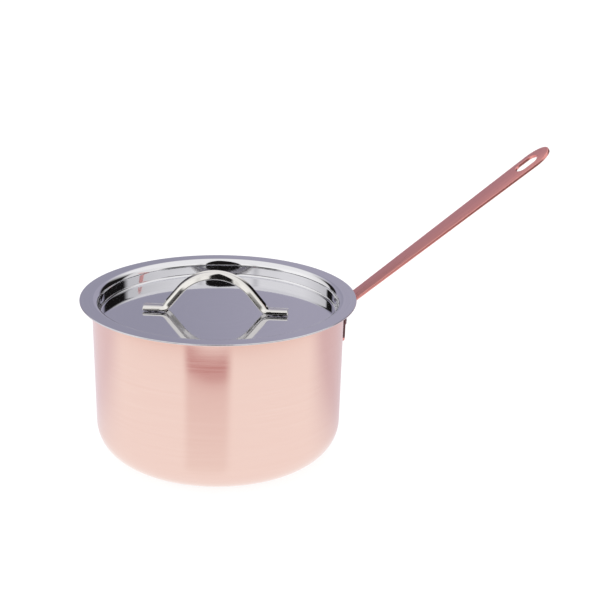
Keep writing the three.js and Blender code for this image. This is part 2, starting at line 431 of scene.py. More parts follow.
for kind in ("camera", "diffuse", "shadow", "transmission"):
    setattr(mirrored, "visible_" + kind, False)
print("mirrored table drawn with", len(tree.nodes), "nodes")

# %% [markdown]
# ### The light tent
# Polished steel has no colour of its own: it shows what stands round it. The tent is painted on the
# world by the bearing and the height of each ray of light, with a lavender-grey back wall, white sides
# and roof, two dark flags, and dark openings on the camera's side. A painted world costs no geometry.

# %% The light tent
TENT_WHITE = (1.25, 1.24, 1.21)
TENT_SHADE = (0.90, 0.89, 0.88)
BACK_GREY = (0.46, 0.44, 0.54)
BACK_DARK = (0.38, 0.37, 0.46)
FLAG_BLACK = (0.012, 0.011, 0.011)
ROOF_WHITE = (1.12, 1.11, 1.10)

world = bpy.data.worlds.new("light_tent")
bpy.context.scene.world = world
world.use_nodes = True
sky = world.node_tree
sky.nodes.clear()
ray = add(sky, "ShaderNodeTexCoord")
turned_ray = add(
    sky, "ShaderNodeMapping", {"Rotation": (0, 0, -VIEW_TURN)}, {"Vector": ray.outputs["Generated"]}
)
axes = add(sky, "ShaderNodeSeparateXYZ", links={"Vector": turned_ray.outputs["Vector"]})
# The bearing is 0.5 at the camera's side, 0.75 at the right, and 0 or 1 at the middle of the back.
back_to_front = add(sky, "ShaderNodeMath", {1: -1.0}, {0: axes.outputs["Y"]}, operation="MULTIPLY")
turn = add(
    sky,
    "ShaderNodeMath",
    links={0: axes.outputs["X"], 1: back_to_front.outputs[0]},
    operation="ARCTAN2",
)
bearing = add(
    sky,
    "ShaderNodeMath",
    {1: 1 / math.tau, 2: 0.5},
    {0: turn.outputs[0]},
    operation="MULTIPLY_ADD",
)
rise = add(sky, "ShaderNodeMath", links={0: axes.outputs["Z"]}, operation="ARCSINE")
height = add(sky, "ShaderNodeMath", {1: math.pi / 2}, {0: rise.outputs[0]}, operation="DIVIDE")
walls = add(
    sky,
    "ShaderNodeValToRGB",
    links={"Fac": bearing.outputs[0]},
    stops=[
        (0.000, BACK_GREY),
        (1.000, BACK_GREY),
        (0.016, BACK_DARK),
        (0.084, BACK_GREY),
        (0.096, FLAG_BLACK),
        (0.130, FLAG_BLACK),
        (0.140, TENT_SHADE),
        (0.250, TENT_WHITE),
        (0.390, TENT_WHITE),
        (0.405, TENT_SHADE),
        (0.420, TENT_WHITE),
        (0.545, TENT_WHITE),
        (0.560, TENT_SHADE),
        (0.575, TENT_WHITE),
        (0.790, TENT_SHADE),
        (0.810, FLAG_BLACK),
        (0.920, FLAG_BLACK),
        (0.940, BACK_GREY),
    ],
)
roof_share = add(
    sky,
    "ShaderNodeValToRGB",
    links={"Fac": height.outputs[0]},
    stops=[(0.32, 0.0), (0.50, 1.0)],
)
tent = add(
    sky,
    "ShaderNodeMix",
    {7: (*ROOF_WHITE, 1)},
    {0: roof_share.outputs["Color"], 6: walls.outputs["Color"]},
    data_type="RGBA",
)


def opening(tent, width_stops, height_stops):
    """Darkens the tent where both ramps say so: one reads the bearing and one reads the height."""
    width = add(sky, "ShaderNodeValToRGB", links={"Fac": bearing.outputs[0]}, stops=width_stops)
    rise = add(sky, "ShaderNodeValToRGB", links={"Fac": height.outputs[0]}, stops=height_stops)
    gap = add(
        sky,
        "ShaderNodeMath",
        links={0: width.outputs["Color"], 1: rise.outputs["Color"]},
        operation="MULTIPLY",
    )
    return add(
        sky,
        "ShaderNodeMix",
        {7: (*FLAG_BLACK, 1)},
        {0: gap.outputs[0], 6: tent.outputs[2]},
        data_type="RGBA",
    )


tent = opening(
    tent,
    [(0.447, 0.0), (0.546, 0.0), (0.450, 1.0), (0.543, 1.0)],
    [(0.0, 1.0), (1.0, 0.3), (0.94, 1.0), (0.98, 0.6)],
)
tent = opening(
    tent,
    [(0.32, 0.0), (0.68, 0.0), (0.35, 1.0), (0.65, 1.0)],
    [(0.0, 1.0), (0.19, 0.0), (0.14, 1.0)],
)
glow = add(sky, "ShaderNodeBackground", {"Strength": 1.0}, {"Color": tent.outputs[2]})
add(sky, "ShaderNodeOutputWorld", links={"Surface": glow.outputs["Background"]})
print("tent painted with", len(sky.nodes), "nodes")

# %% [markdown]
# ## The metals
# Each finish is named for its metal and for how its surface was made. Brushing leaves long fine
# scratches, so it is drawn as noise stretched along the strokes: it varies the gloss, and a bump gives
# it depth. Real scratches are a few hundredths of a millimetre wide. Those that show at this distance
# are the coarser ones, so the pattern is drawn a little coarser than life.

# %% The brushing, shared by every metal
def brushing(tree, shader, strokes, line, stroke, gloss, depth):
    """Scratches on a metal, as wide as line and as long as stroke, with Z of strokes across them."""
    stretched = add(
        tree,
        "ShaderNodeVectorMath",
        {1: (1 / stroke, 1 / stroke, 1 / line)},
        {0: strokes},
        operation="MULTIPLY",
    )
    scratches = add(
        tree,
        "ShaderNodeTexNoise",
        {"Scale": 1.0, "Detail": 3.0, "Roughness": 0.65},
        {"Vector": stretched.outputs[0]},
    )
    sheen = add(
        tree,
        "ShaderNodeMapRange",
        {"From Min": 0.3, "From Max": 0.7, "To Min": gloss[0], "To Max": gloss[1]},
        {"Value": scratches.outputs["Fac"]},
    )
    relief = add(
        tree, "ShaderNodeBump", {"Strength": 1.0, "Distance": depth}, {"Height": scratches.outputs["Fac"]}
    )
    tree.links.new(sheen.outputs["Result"], shader.inputs["Roughness"])
    tree.links.new(relief.outputs["Normal"], shader.inputs["Normal"])
    return scratches.outputs["Fac"]


def ring_strokes(tree):
    """Place with Z running along the profile, so that scratches lie in rings round the pan's axis."""
    place = add(tree, "ShaderNodeTexCoord")
    parts = add(tree, "ShaderNodeSeparateXYZ", links={0: place.outputs["Object"]})
    flat = add(tree, "ShaderNodeCombineXYZ", links={"X": parts.outputs["X"], "Y": parts.outputs["Y"]})
    radius = add(tree, "ShaderNodeVectorMath", links={0: flat.outputs[0]}, operation="LENGTH")
    profile = add(
        tree, "ShaderNodeMath", links={0: radius.outputs["Value"], 1: parts.outputs["Z"]}, operation="ADD"
    )
    strokes = add(
        tree,
        "ShaderNodeCombineXYZ",
        links={"X": parts.outputs["X"], "Y": parts.outputs["Y"], "Z": profile.outputs[0]},
    )
    return strokes.outputs[0]


def bar_strokes(tree, turn):
    """Place turned so that X runs along a bar; the scratches follow it and Z and Y cross it."""
    place = add(tree, "ShaderNodeTexCoord")
    turned = add(tree, "ShaderNodeMapping", {"Rotation": turn}, {"Vector": place.outputs["Object"]})
    parts = add(tree, "ShaderNodeSeparateXYZ", links={0: turned.outputs[0]})
    across = add(
        tree, "ShaderNodeMath", links={0: parts.outputs["Y"], 1: parts.outputs["Z"]}, operation="ADD"
    )
    strokes = add(tree, "ShaderNodeCombineXYZ", links={"X": parts.outputs["X"], "Z": across.outputs[0]})
    return strokes.outputs[0]


def tinted(tree, shader, factor, first, second):
    """Mixes two close tones of a metal."""
    mix = add(tree, "ShaderNodeMix", {6: linear(first), 7: linear(second)}, {0: factor}, data_type="RGBA")
    tree.links.new(mix.outputs[2], shader.inputs["Base Color"])


# %% [markdown]
# ### Brushed copper
# Copper brushed in fine rings while the pan turns on a lathe, then lacquered. The rings spread a
# highlight up and down the wall, and the lacquer adds a thin clear gloss. The anisotropic shader gives
# the spread, along a tangent that runs round Z, which is cheaper than real grooves in the mesh.

# %% Brushed copper
brushed_copper, tree, shader = metal("copper_brushed_in_rings", "#EACBC1", 0.13)
lines = brushing(tree, shader, ring_strokes(tree), 0.5 * MM, 45 * MM, (0.10, 0.16), 0.0015 * MM)
tinted(tree, shader, lines, "#E7C5BB", "#EDD1C8")
lathe = add(tree, "ShaderNodeTangent", direction_type="RADIAL", axis="Z")
tree.links.new(lathe.outputs["Tangent"], shader.inputs["Tangent"])
shader.inputs["Anisotropic"].default_value = 0.4
shader.inputs["Anisotropic Rotation"].default_value = 0.25
shader.inputs["Coat Weight"].default_value = 0.25
shader.inputs["Coat Roughness"].default_value = 0.15

# %% [markdown]
# ### Copper plate
# The handle is a steel bar, plated with copper and linished along its length on a belt. It looks redder
# and duller than the pan, with long faint strokes, so its pattern is turned to run along the bar.

# %% Copper plate on the handle
STROKE_TILT = math.radians(36.3)  # close to the rise of the bar
plated_copper, tree, shader = metal("copper_plate_linished", "#E9A09A", 0.33)
strokes = bar_strokes(tree, (0, STROKE_TILT, 0))
lines = brushing(tree, shader, strokes, 0.9 * MM, 60 * MM, (0.26, 0.40), 0.004 * MM)
tinted(tree, shader, lines, "#E0928D", "#F2AEA8")

# %% [markdown]
# The plate's edge is left dull, and its dark brown tone is painted shade, for the shadow in the narrow gap
# where the plate meets the wall.

# %% Painted shade on the edge of the plate
plate_edge_painted_shade, tree, shader = metal("copper_edge_painted_shade", "#6A4A4C", 0.5)
lines = brushing(tree, shader, bar_strokes(tree, (0, 0, 0)), 0.4 * MM, 2 * MM, (0.4, 0.6), 0.004 * MM)
tinted(tree, shader, lines, "#5C4044", "#785658")

# %% [markdown]
# ### Mirror steel
# The lid is stainless sheet, pressed and then buffed to a mirror on a turning mop. The eye sees a clear
# reflection with the faintest rings, so the roughness is low and the bump under a thousandth of a mm.

# %% Mirror steel of the lid
mirror_steel, tree, shader = metal("steel_mirror_buffed", "#DCDCE0", 0.04)
lines = brushing(tree, shader, ring_strokes(tree), 0.8 * MM, 60 * MM, (0.03, 0.07), 0.0006 * MM)
tinted(tree, shader, lines, "#D6D6DA", "#E0E0E4")

# %% [markdown]
# ### Polished strip
# The strap is stainless strip, rolled to its section and polished by belt along its length. It mirrors
# a little more softly than the lid does.

# %% Polished steel of the strap
STRAP_TURN = math.radians(-16)
polished_strip, tree, shader = metal("steel_strip_polished", "#DAD8D6", 0.09)
strokes = bar_strokes(tree, (0, 0, -STRAP_TURN))
lines = brushing(tree, shader, strokes, 0.4 * MM, 30 * MM, (0.06, 0.13), 0.003 * MM)
tinted(tree, shader, lines, "#D0CECB", "#E2E0DE")

# %% [markdown]
# ### Satin steel
# The stainless lining is scoured in rings, so it looks soft and grey with fine circles. The rivet heads
# get a like satin look from the die that forms them, in shorter marks.

# %% Satin steel of the lining and the rivets
satin_steel, tree, shader = metal("steel_satin_scoured", "#C9C9CD", 0.28)
lines = brushing(tree, shader, ring_strokes(tree), 0.45 * MM, 30 * MM, (0.2, 0.34), 0.004 * MM)
tinted(tree, shader, lines, "#BEBEC2", "#D2D2D6")
forged_steel, tree, shader = metal("steel_rivet_forged", "#C8C8CB", 0.22)
lines = brushing(tree, shader, bar_strokes(tree, (0, 0, 0)), 0.6 * MM, 1.5 * MM, (0.16, 0.3), 0.006 * MM)
tinted(tree, shader, lines, "#BABABE", "#D2D2D5")

# %% [markdown]
# ### Cut aluminium and weld metal
# The core shows only as a pale cut line in the rim. The welds are dull, and browned and blued in spots
# by their heat, so their two tones differ more than those of the polished steels.

# %% Cut aluminium and weld metal
cut_aluminium, tree, shader = metal("aluminium_cut_edge", "#D0D2D4", 0.4)
lines = brushing(tree, shader, ring_strokes(tree), 0.3 * MM, 20 * MM, (0.3, 0.5), 0.004 * MM)
tinted(tree, shader, lines, "#C6C8CA", "#DADCDE")
weld_metal, tree, shader = metal("steel_weld_heat_tinted", "#8E8E90", 0.5)
lines = brushing(tree, shader, bar_strokes(tree, (0, 0, 0)), 0.5 * MM, 0.8 * MM, (0.35, 0.6), 0.02 * MM)
tinted(tree, shader, lines, "#77727C", "#A39C94")
METALS = ("copper", "steel", "aluminium")
print("finishes:", sorted(m.name for m in bpy.data.materials if m.name.startswith(METALS)))

# %% [markdown]
# ## The pan's wall
# The real wall is a sheet of copper, aluminium and steel rolled together and spun into a cup. Each
# layer starts as a filled circle, drawn up into a wall, inset by its thickness and pushed back down.

# %% Three nested cups
def cup(name, depth, thickness):
    """One layer of the wall, whose outside lies a depth in from the outside of the pan."""
    foot_radius = RIM_RADIUS - RIM_HEIGHT * math.tan(DRAFT) - depth
    mouth_radius = RIM_RADIUS - depth
    deselect_all()
    bpy.ops.mesh.primitive_circle_add(
        vertices=SIDES, radius=foot_radius, fill_type="NGON", location=(0, 0, depth)
    )
    piece = name_new(name)
    apply_place(piece)
    edit(piece, "FACE")
    bpy.ops.mesh.select_all(action="SELECT")
    bpy.ops.mesh.extrude_region_move(TRANSFORM_OT_translate={"value": (0, 0, RIM_HEIGHT - depth)})
    grow = mouth_radius / foot_radius
    bpy.ops.transform.resize(value=(grow, grow, 1), center_override=(0, 0, RIM_HEIGHT))
    bpy.ops.mesh.inset(thickness=thickness)
    fall = RIM_HEIGHT - depth - thickness
    bpy.ops.mesh.extrude_region_move(TRANSFORM_OT_translate={"value": (0, 0, -fall)})
    shrink = (foot_radius - thickness) / (mouth_radius - thickness)
    bpy.ops.transform.resize(value=(shrink, shrink, 1), center_override=(0, 0, depth + thickness))
    floor_levels = {depth: CORNER_RADIUS - depth, depth + thickness: CORNER_RADIUS - depth - thickness}
    for floor_level, radius in floor_levels.items():
        select_where(piece, "EDGE", lambda p: abs(p.z - floor_level) < NEAR)
        bpy.ops.mesh.bevel(offset=radius, segments=CORNER_STEPS, affect="EDGES", clamp_overlap=False)
    select_where(piece, "EDGE", lambda p: abs(p.z - RIM_HEIGHT) < NEAR)
    bpy.ops.mesh.bevel(offset=thickness * RIM_ROUNDING, segments=2, affect="EDGES")
    face_outwards(piece)
    smooth(piece)
    print(name, "has", len(piece.data.polygons), "faces")
    return piece


def add_layer(layer, node, finish):
    """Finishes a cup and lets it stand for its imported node."""
    layer.data.materials.append(finish)
    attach(layer, "pan")
    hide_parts(node)


copper_cup = cup("copper_cup", 0.0, COPPER_THICKNESS)
add_layer(copper_cup, "copper_shell", brushed_copper)
aluminium_cup = cup("aluminium_cup", CORE_DEPTH, ALUMINIUM_THICKNESS)
add_layer(aluminium_cup, "aluminium_core", cut_aluminium)
steel_cup = cup("steel_cup", LINING_DEPTH, STEEL_THICKNESS)
add_layer(steel_cup, "steel_lining", satin_steel)

# %% [markdown]
# ## The lid
# The real lid is one sheet of steel, pressed down into a flat dish with an upright wall and a flat brim.
# A lathe profile would do as well. Here a circle is the dish, its edge is drawn up and then out, the two
# folds are bevelled as the press rounds them, and Solidify gives the thickness of the sheet.

# %% The lid's pressed sheet
deselect_all()
bpy.ops.mesh.primitive_circle_add(
    vertices=SIDES, radius=DISH_RADIUS, fill_type="NGON", location=(0, 0, DISH_TOP)
)
lid = name_new("lid_sheet")
apply_place(lid)
edit(lid, "EDGE")
bpy.ops.mesh.select_all(action="SELECT")
bpy.ops.mesh.extrude_edges_move(TRANSFORM_OT_translate={"value": (0, 0, BRIM_TOP - DISH_TOP)})
bpy.ops.mesh.extrude_edges_move()
spread = BRIM_RADIUS / DISH_RADIUS
bpy.ops.transform.resize(value=(spread, spread, 1), center_override=(0, 0, BRIM_TOP))


def dish_edge(p):
    return abs(math.hypot(p.x, p.y) - DISH_RADIUS) < NEAR


select_where(lid, "EDGE", lambda p: dish_edge(p) and abs(p.z - DISH_TOP) < NEAR)
bpy.ops.mesh.bevel(offset=FLOOR_FILLET, segments=8, affect="EDGES", clamp_overlap=False)
select_where(lid, "EDGE", lambda p: dish_edge(p) and abs(p.z - BRIM_TOP) < NEAR)
bpy.ops.mesh.bevel(offset=BRIM_FILLET, segments=10, affect="EDGES", clamp_overlap=False)
face_outwards(lid)
apply_modifier(lid, "SOLIDIFY", thickness=SHEET, offset=-1)
select_where(lid, "EDGE", lambda p: abs(math.hypot(p.x, p.y) - BRIM_RADIUS) < 2 * NEAR)
bpy.ops.mesh.bevel(offset=BRIM_EDGE, segments=4, affect="EDGES")
smooth(lid)
lid.data.materials.append(mirror_steel)
print("lid", [round(v / MM, 1) for v in lid.dimensions], "faces", len(lid.data.polygons))
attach(lid, "lid")
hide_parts("lid_pressing")

# %% [markdown]
# ## The strap on the lid
# The real strap is a narrow strip of steel pressed to an arched section and bent over a former: a
# foot, a straight rise, a round top, and the same again. It is alike both ways, so a quarter of it is
# enough and a mirror makes the rest. The section is arched: a nearly flat top, a round shoulder and a
# straight side. It is high along the arch and shallow at the feet, where it is welded down.

# %% The strap's own sizes
STRAP_OFF_CENTRE = 2.0 * MM
STRAP_HALF_LENGTH = 47.7 * MM
STRAP_HALF_WIDTH = 5.5 * MM
STRAP_SHEET = 1.8 * MM
STRAP_EDGE = 0.5 * MM
ARCH_RADIUS = 27.0 * MM
BEND_RADIUS = 7.0 * MM
BEND_EASE = 2.0 * MM
SLOPE = math.radians(51)
TOP_DROP = 0.5 * MM
SHOULDER_STEPS = 8
ARCH_STEPS = 16
ARCH_SECTION = {"turn": math.radians(62), "shoulder": 3.4 * MM, "side": 2.6 * MM}
FOOT_SECTION = {"turn": math.radians(50), "shoulder": 2.8 * MM, "side": 1.2 * MM}


def section_height(turn, shoulder, side):
    """A section is a nearly flat top, a round shoulder turned down by an angle, and a straight side."""
    return TOP_DROP + shoulder * (1 - math.cos(turn)) + side * math.sin(turn) + STRAP_SHEET * math.cos(turn)


clear_height = strap_high[2] - strap_low[2] - section_height(**ARCH_SECTION)
arch_drop = ARCH_RADIUS * (1 - math.cos(SLOPE))
full_drop = clear_height - arch_drop - BEND_RADIUS * (1 - math.cos(SLOPE))
foot_start = (ARCH_RADIUS + BEND_RADIUS) * math.sin(SLOPE) + full_drop / math.tan(SLOPE) + BEND_EASE
slope_drop = full_drop - BEND_EASE * math.sin(SLOPE)
slope_run = slope_drop / math.tan(SLOPE)
slope_end = ARCH_RADIUS * math.sin(SLOPE) + slope_run
foot_length = STRAP_HALF_LENGTH - foot_start
print("strap: clear height %.1f mm, foot %.1f mm" % (clear_height / MM, foot_length / MM))


# %% [markdown]
# Half a section starts as a small upright plane, of which only one edge is kept, as long as the sheet is
# thick. Extrude draws it along the top, spin turns it round the shoulder, and extrude draws the side.

# %% Half a section of the strap
def strap_section(name, place, height, turn, shoulder, side):
    """The far half of the section, standing across the strap at a place along it."""
    flat = STRAP_HALF_WIDTH - shoulder * math.sin(turn) - side * math.cos(turn)
    top = height + section_height(turn, shoulder, side)
    deselect_all()
    bpy.ops.mesh.primitive_plane_add(
        size=STRAP_SHEET,
        location=(place, STRAP_SHEET / 2, top - STRAP_SHEET / 2),
        rotation=(0, math.pi / 2, 0),
    )
    section = name_new(name)
    apply_place(section)
    select_where(section, "VERT", lambda p: p.y > STRAP_SHEET / 2)
    bpy.ops.mesh.delete(type="VERT")
    bpy.ops.mesh.select_all(action="SELECT")
    bpy.ops.mesh.extrude_edges_move(TRANSFORM_OT_translate={"value": (0, flat, -TOP_DROP)})
    shoulder_centre = (place, flat, top - TOP_DROP - shoulder)
    bpy.ops.mesh.spin(steps=SHOULDER_STEPS, angle=turn, center=shoulder_centre, axis=(1, 0, 0))
    side_step = (0, side * math.cos(turn), -side * math.sin(turn))
    bpy.ops.mesh.extrude_edges_move(TRANSFORM_OT_translate={"value": side_step})
    edit(section, "FACE")
    bpy.ops.mesh.select_all(action="SELECT")
    return section


# %% [markdown]
# The section is spun round the centre of the arch and drawn down the slope. Spin turns against the
# right-hand rule, so its axis points along minus Y. The faces at the far end are still selected after
# the last extrude, and deleting them leaves that end open.

# %% The arch and its slope
strap = strap_section("lid_strap", 0, clear_height, **ARCH_SECTION)
arch_centre = (0, 0, clear_height - ARCH_RADIUS)
bpy.ops.mesh.spin(steps=ARCH_STEPS, angle=SLOPE, center=arch_centre, axis=(0, -1, 0))
bpy.ops.mesh.extrude_region_move(TRANSFORM_OT_translate={"value": (slope_run, 0, -slope_drop)})
bpy.ops.mesh.delete(type="FACE")

# %% [markdown]
# The foot has a section of its own. Bridge joins the open ends of slope and foot in a smooth bend, once
# the faces on the two mirror planes are gone, so that both ends are open chains of edges.

# %% The foot, and the bend that bridges the two
foot = strap_section("strap_foot", STRAP_HALF_LENGTH, 0, **FOOT_SECTION)
bpy.ops.mesh.extrude_region_move(
    TRANSFORM_OT_translate={"value": (foot_start - STRAP_HALF_LENGTH, 0, 0)}
)
bpy.ops.mesh.delete(type="FACE")
pick(strap)
foot.select_set(True)
bpy.ops.object.join()
for axis in (0, 1):
    select_where(strap, "FACE", lambda p: abs(p[axis]) < NEAR)
    bpy.ops.mesh.delete(type="FACE")
slope_way = Vector((math.cos(SLOPE), 0, -math.sin(SLOPE)))
slope_foot = Vector((slope_end, 0, clear_height - arch_drop - slope_drop))


def at_an_open_end(p):
    return abs(p.x - foot_start) < NEAR or abs((p - slope_foot).dot(slope_way)) < NEAR


select_where(strap, "EDGE", at_an_open_end)
bpy.ops.mesh.bridge_edge_loops(number_cuts=10, interpolation="SURFACE", smoothness=1.0)
select_where(strap, "VERT", lambda p: abs(p.y) < 10 * NEAR)
bpy.ops.transform.resize(value=(1, 0, 1), center_override=(0, 0, 0))

# %% [markdown]
# Mirror makes the other three quarters, Bevel rounds the cut edges of the strip, and the whole strap is
# turned and set down on the lid, a little off its middle.

# %% Mirrored, rounded and set down on the lid
apply_modifier(strap, "MIRROR", use_axis=(True, True, False), merge_threshold=NEAR)
face_outwards(strap)
apply_modifier(
    strap, "BEVEL", width=STRAP_EDGE, segments=4, limit_method="ANGLE", angle_limit=math.radians(50)
)
smooth(strap)
strap.matrix_world = Matrix.Rotation(STRAP_TURN, 4, "Z") @ Matrix.Translation(
    (-STRAP_OFF_CENTRE, 0, strap_low[2])
)
apply_place(strap)
strap.data.materials.append(polished_strip)
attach(strap, "lid")
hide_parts("lid_handle")
print("strap spans", [round(v / MM, 1) for v in strap.dimensions], "faces", len(strap.data.polygons))

# %% [markdown]
# ## The pan handle
# The real handle is a flat copper-plated bar, crowned on top, wider towards the eye it hangs by, and
# joined at its root to a plate that hugs the wall. The bar is drawn lying along X: a crowned strip
# is cut to the outline by one boolean and the slot is punched by another, as press tools would.

# %% The handle's own sizes
RISE = math.radians(36.45)
ROOT_HEIGHT = 95.3 * MM
BAR_LENGTH = 174.0 * MM
BAR_THICKNESS = 2.2 * MM
ROOT_WIDTH = 13.2 * MM
EYE_WIDTH = 20.5 * MM
TIP_LENGTH = 14.5 * MM
SLOT_WIDTH = 10.5 * MM
SLOT_LENGTH = 16.8 * MM
SLOT_TO_TIP = 9.3 * MM
CROWN = 0.5 * MM
ROOT_DROP = 8.0 * MM
ROOT_REACH = 12.0 * MM
PLATE_TOP = 103.4 * MM
PLATE_GAP = 0.08 * MM
PLATE_THICKNESS = 1.6 * MM
PLATE_CORNER = 6.0 * MM
PLATE_STEPS = 16
BAR_EDGE = 0.45 * MM
PLATE_EDGE = 0.5 * MM
WEB_DROP = 1.2 * MM
WEB_FILLET = 4 * MM
STAMP_DEPTH = 30 * MM
plate_low = bar_low[2]
plate_half = bar_high[1]
tip_start = BAR_LENGTH - TIP_LENGTH
half_eye = EYE_WIDTH / 2
bar_reach = BAR_LENGTH + ROOT_DROP
root_narrowing = 1 - (1 - ROOT_WIDTH / EYE_WIDTH) * (tip_start + ROOT_DROP) / tip_start


def wall_radius(z):
    return RIM_RADIUS - (RIM_HEIGHT - z) * math.tan(DRAFT)


def block(name, size, middle):
    """A cube brought to its size and place."""
    deselect_all()
    bpy.ops.mesh.primitive_cube_add(size=1, location=middle)
    piece = name_new(name)
    piece.scale = size
    apply_place(piece)
    return piece


def cut(piece, tool, operation):
    """Joins, cuts or trims a piece by another, which is used up."""
    apply_modifier(piece, "BOOLEAN", operation=operation, object=tool, solver="EXACT")
    bpy.data.objects.remove(tool)


def round_upright(piece, test, radius, segments):
    """Rounds the upright edges whose two ends pass a test."""
    edit(piece, "EDGE")
    bpy.ops.object.mode_set(mode="OBJECT")
    for edge in piece.data.edges:
        ends = [piece.data.vertices[i].co for i in edge.vertices]
        upright = (ends[0].xy - ends[1].xy).length < NEAR
        edge.select = upright and test(ends[0])
    bpy.ops.object.mode_set(mode="EDIT")
    bpy.ops.mesh.bevel(offset=radius, segments=segments, affect="EDGES", clamp_overlap=False)
    deselect_all()


# %% [markdown]
# ### The bar
# The strip is a block cut lengthwise by bisect planes. Each line of points is lowered by the crown's
# curve, and the root end is drawn in, so that the bar widens evenly towards its eye.

# %% The crowned strip
strip_middle = (bar_reach / 2 - ROOT_DROP, 0, 0)
bar = block("handle_bar", (bar_reach + MM, EYE_WIDTH + MM, BAR_THICKNESS), strip_middle)
CROWN_LINES = 7
for line in range(1, 2 * CROWN_LINES):
    edit(bar)
    bpy.ops.mesh.select_all(action="SELECT")
    across = (line / CROWN_LINES - 1) * (half_eye + MM / 2)
    bpy.ops.mesh.bisect(plane_co=(0, across, 0), plane_no=(0, 1, 0))
for line in range(2 * CROWN_LINES + 1):
    share = line / CROWN_LINES - 1
    across = share * (half_eye + MM / 2)
    select_where(bar, "VERT", lambda p: abs(p.y - across) < NEAR and p.z > 0)
    bpy.ops.transform.translate(value=(0, 0, -CROWN * share**2))
select_where(bar, "VERT", lambda p: p.x < 0)
bpy.ops.transform.resize(value=(1, root_narrowing, 1), center_override=(0, 0, 0))
face_outwards(bar)

# %% [markdown]
# The outline is a block whose two far upright edges are rounded until they meet, and then stretched to
# half an ellipse. It trims the strip by intersection, and a punch with round ends cuts the hanging slot.

# %% The outline and the slot
outline_middle = (tip_start / 2 + half_eye / 2 - ROOT_DROP / 2, 0, 0)
outline_size = (tip_start + half_eye + ROOT_DROP, EYE_WIDTH, 4 * BAR_THICKNESS)
outline = block("bar_outline", outline_size, outline_middle)
round_upright(outline, lambda p: p.x > tip_start, half_eye - NEAR, 24)
select_where(outline, "VERT", lambda p: p.x > tip_start + 3 * NEAR)
bpy.ops.transform.resize(value=(TIP_LENGTH / half_eye, 1, 1), center_override=(tip_start, 0, 0))
select_where(outline, "VERT", lambda p: p.x < 0)
bpy.ops.transform.resize(value=(1, root_narrowing, 1), center_override=(0, 0, 0))
face_outwards(outline)
slot_middle = (BAR_LENGTH - SLOT_TO_TIP - SLOT_LENGTH / 2, 0, 0)
punch = block("slot_punch", (SLOT_LENGTH, SLOT_WIDTH, 4 * BAR_THICKNESS), slot_middle)
round_upright(punch, lambda p: True, SLOT_WIDTH / 2 - NEAR, 12)
face_outwards(punch)
cut(bar, outline, "INTERSECT")
cut(bar, punch, "DIFFERENCE")


# %% [markdown]
# Linishing takes the sharp edges off. A bevel does that, once the very short edges that the boolean left
# are merged, and then the bar is raised to its slope and moved to the wall.

# %% Rounding the edges of the bar
MERGE = 0.03 * MM


def round_edges(piece, width, angle=40):
    """Clears the short edges that a boolean leaves, then rounds every sharp edge."""
    edit(piece)
    bpy.ops.mesh.select_all(action="SELECT")
    bpy.ops.mesh.remove_doubles(threshold=MERGE)
    deselect_all()
    apply_modifier(
        piece,
        "BEVEL",
        width=width,
        segments=3,
        limit_method="ANGLE",
        angle_limit=math.radians(angle),
        use_clamp_overlap=False,
    )


round_edges(bar, BAR_EDGE)
bar.matrix_world = Matrix.Translation((wall_radius(ROOT_HEIGHT), 0, ROOT_HEIGHT)) @ Matrix.Rotation(
    -RISE, 4, "Y"
)
apply_place(bar)
print("bar spans", [round(v / MM, 1) for v in bar.dimensions], "faces", len(bar.data.polygons))

# %% [markdown]
# ### The plate at the root
# The plate is a strip bent to the curve of the wall. Its upright section is spun round the pan's axis
# to make one half, and a mirror makes the other. The real plate is drilled for three rivets. The holes
# are left out here, because the rivet heads cover them.

# %% The bent plate
plate_middle = (plate_low + PLATE_TOP) / 2
plate_height = PLATE_TOP - plate_low
plate_radius = wall_radius(plate_middle) + PLATE_GAP + PLATE_THICKNESS / 2
plate_spread = math.asin(plate_half / wall_radius(plate_low))
deselect_all()
bpy.ops.mesh.primitive_plane_add(
    size=1, rotation=(math.pi / 2, 0, 0), location=(plate_radius, 0, plate_middle)
)
plate = name_new("handle_plate")
plate.scale = (PLATE_THICKNESS, plate_height, 1)
apply_place(plate)
select_where(plate, "VERT", lambda p: p.z > plate_middle)
bpy.ops.transform.translate(value=(plate_height / 2 * math.tan(DRAFT), 0, 0))
select_where(plate, "VERT", lambda p: p.z < plate_middle)
bpy.ops.transform.translate(value=(-plate_height / 2 * math.tan(DRAFT), 0, 0))
edit(plate, "FACE")
bpy.ops.mesh.select_all(action="SELECT")
bpy.ops.mesh.spin(steps=PLATE_STEPS, angle=plate_spread, center=(0, 0, 0), axis=(0, 0, -1))
select_where(plate, "FACE", lambda p: abs(p.y) < NEAR)
bpy.ops.mesh.delete(type="FACE")
apply_modifier(plate, "MIRROR", use_axis=(False, True, False), merge_threshold=NEAR)
face_outwards(plate)

# %% [markdown]
# A stamp with four rounded edges trims the bent plate to its outline, as a press tool would.

# %% Its rounded outline
stamp = block("plate_stamp", (plate_height, 2 * plate_half, STAMP_DEPTH), (0, 0, 0))
round_upright(stamp, lambda p: True, PLATE_CORNER, 8)
stamp.matrix_world = Matrix.Translation((wall_radius(plate_low), 0, plate_middle)) @ Matrix.Rotation(
    math.pi / 2, 4, "Y"
)
apply_place(stamp)
face_outwards(stamp)
cut(plate, stamp, "INTERSECT")
print("plate", [round(v / MM, 1) for v in plate.dimensions])
round_edges(plate, PLATE_EDGE)

# %% [markdown]
# The web is a small block under the bar. Its four long edges are moved to their places, and the one in
# the inner corner is rounded to the curve that carries the bar into the plate.

# %% The web between bar and plate
root = wall_radius(ROOT_HEIGHT) + PLATE_GAP + PLATE_THICKNESS / 2


def along_bar(distance):
    return Vector((root + distance * math.cos(RISE), 0, ROOT_HEIGHT + distance * math.sin(RISE)))


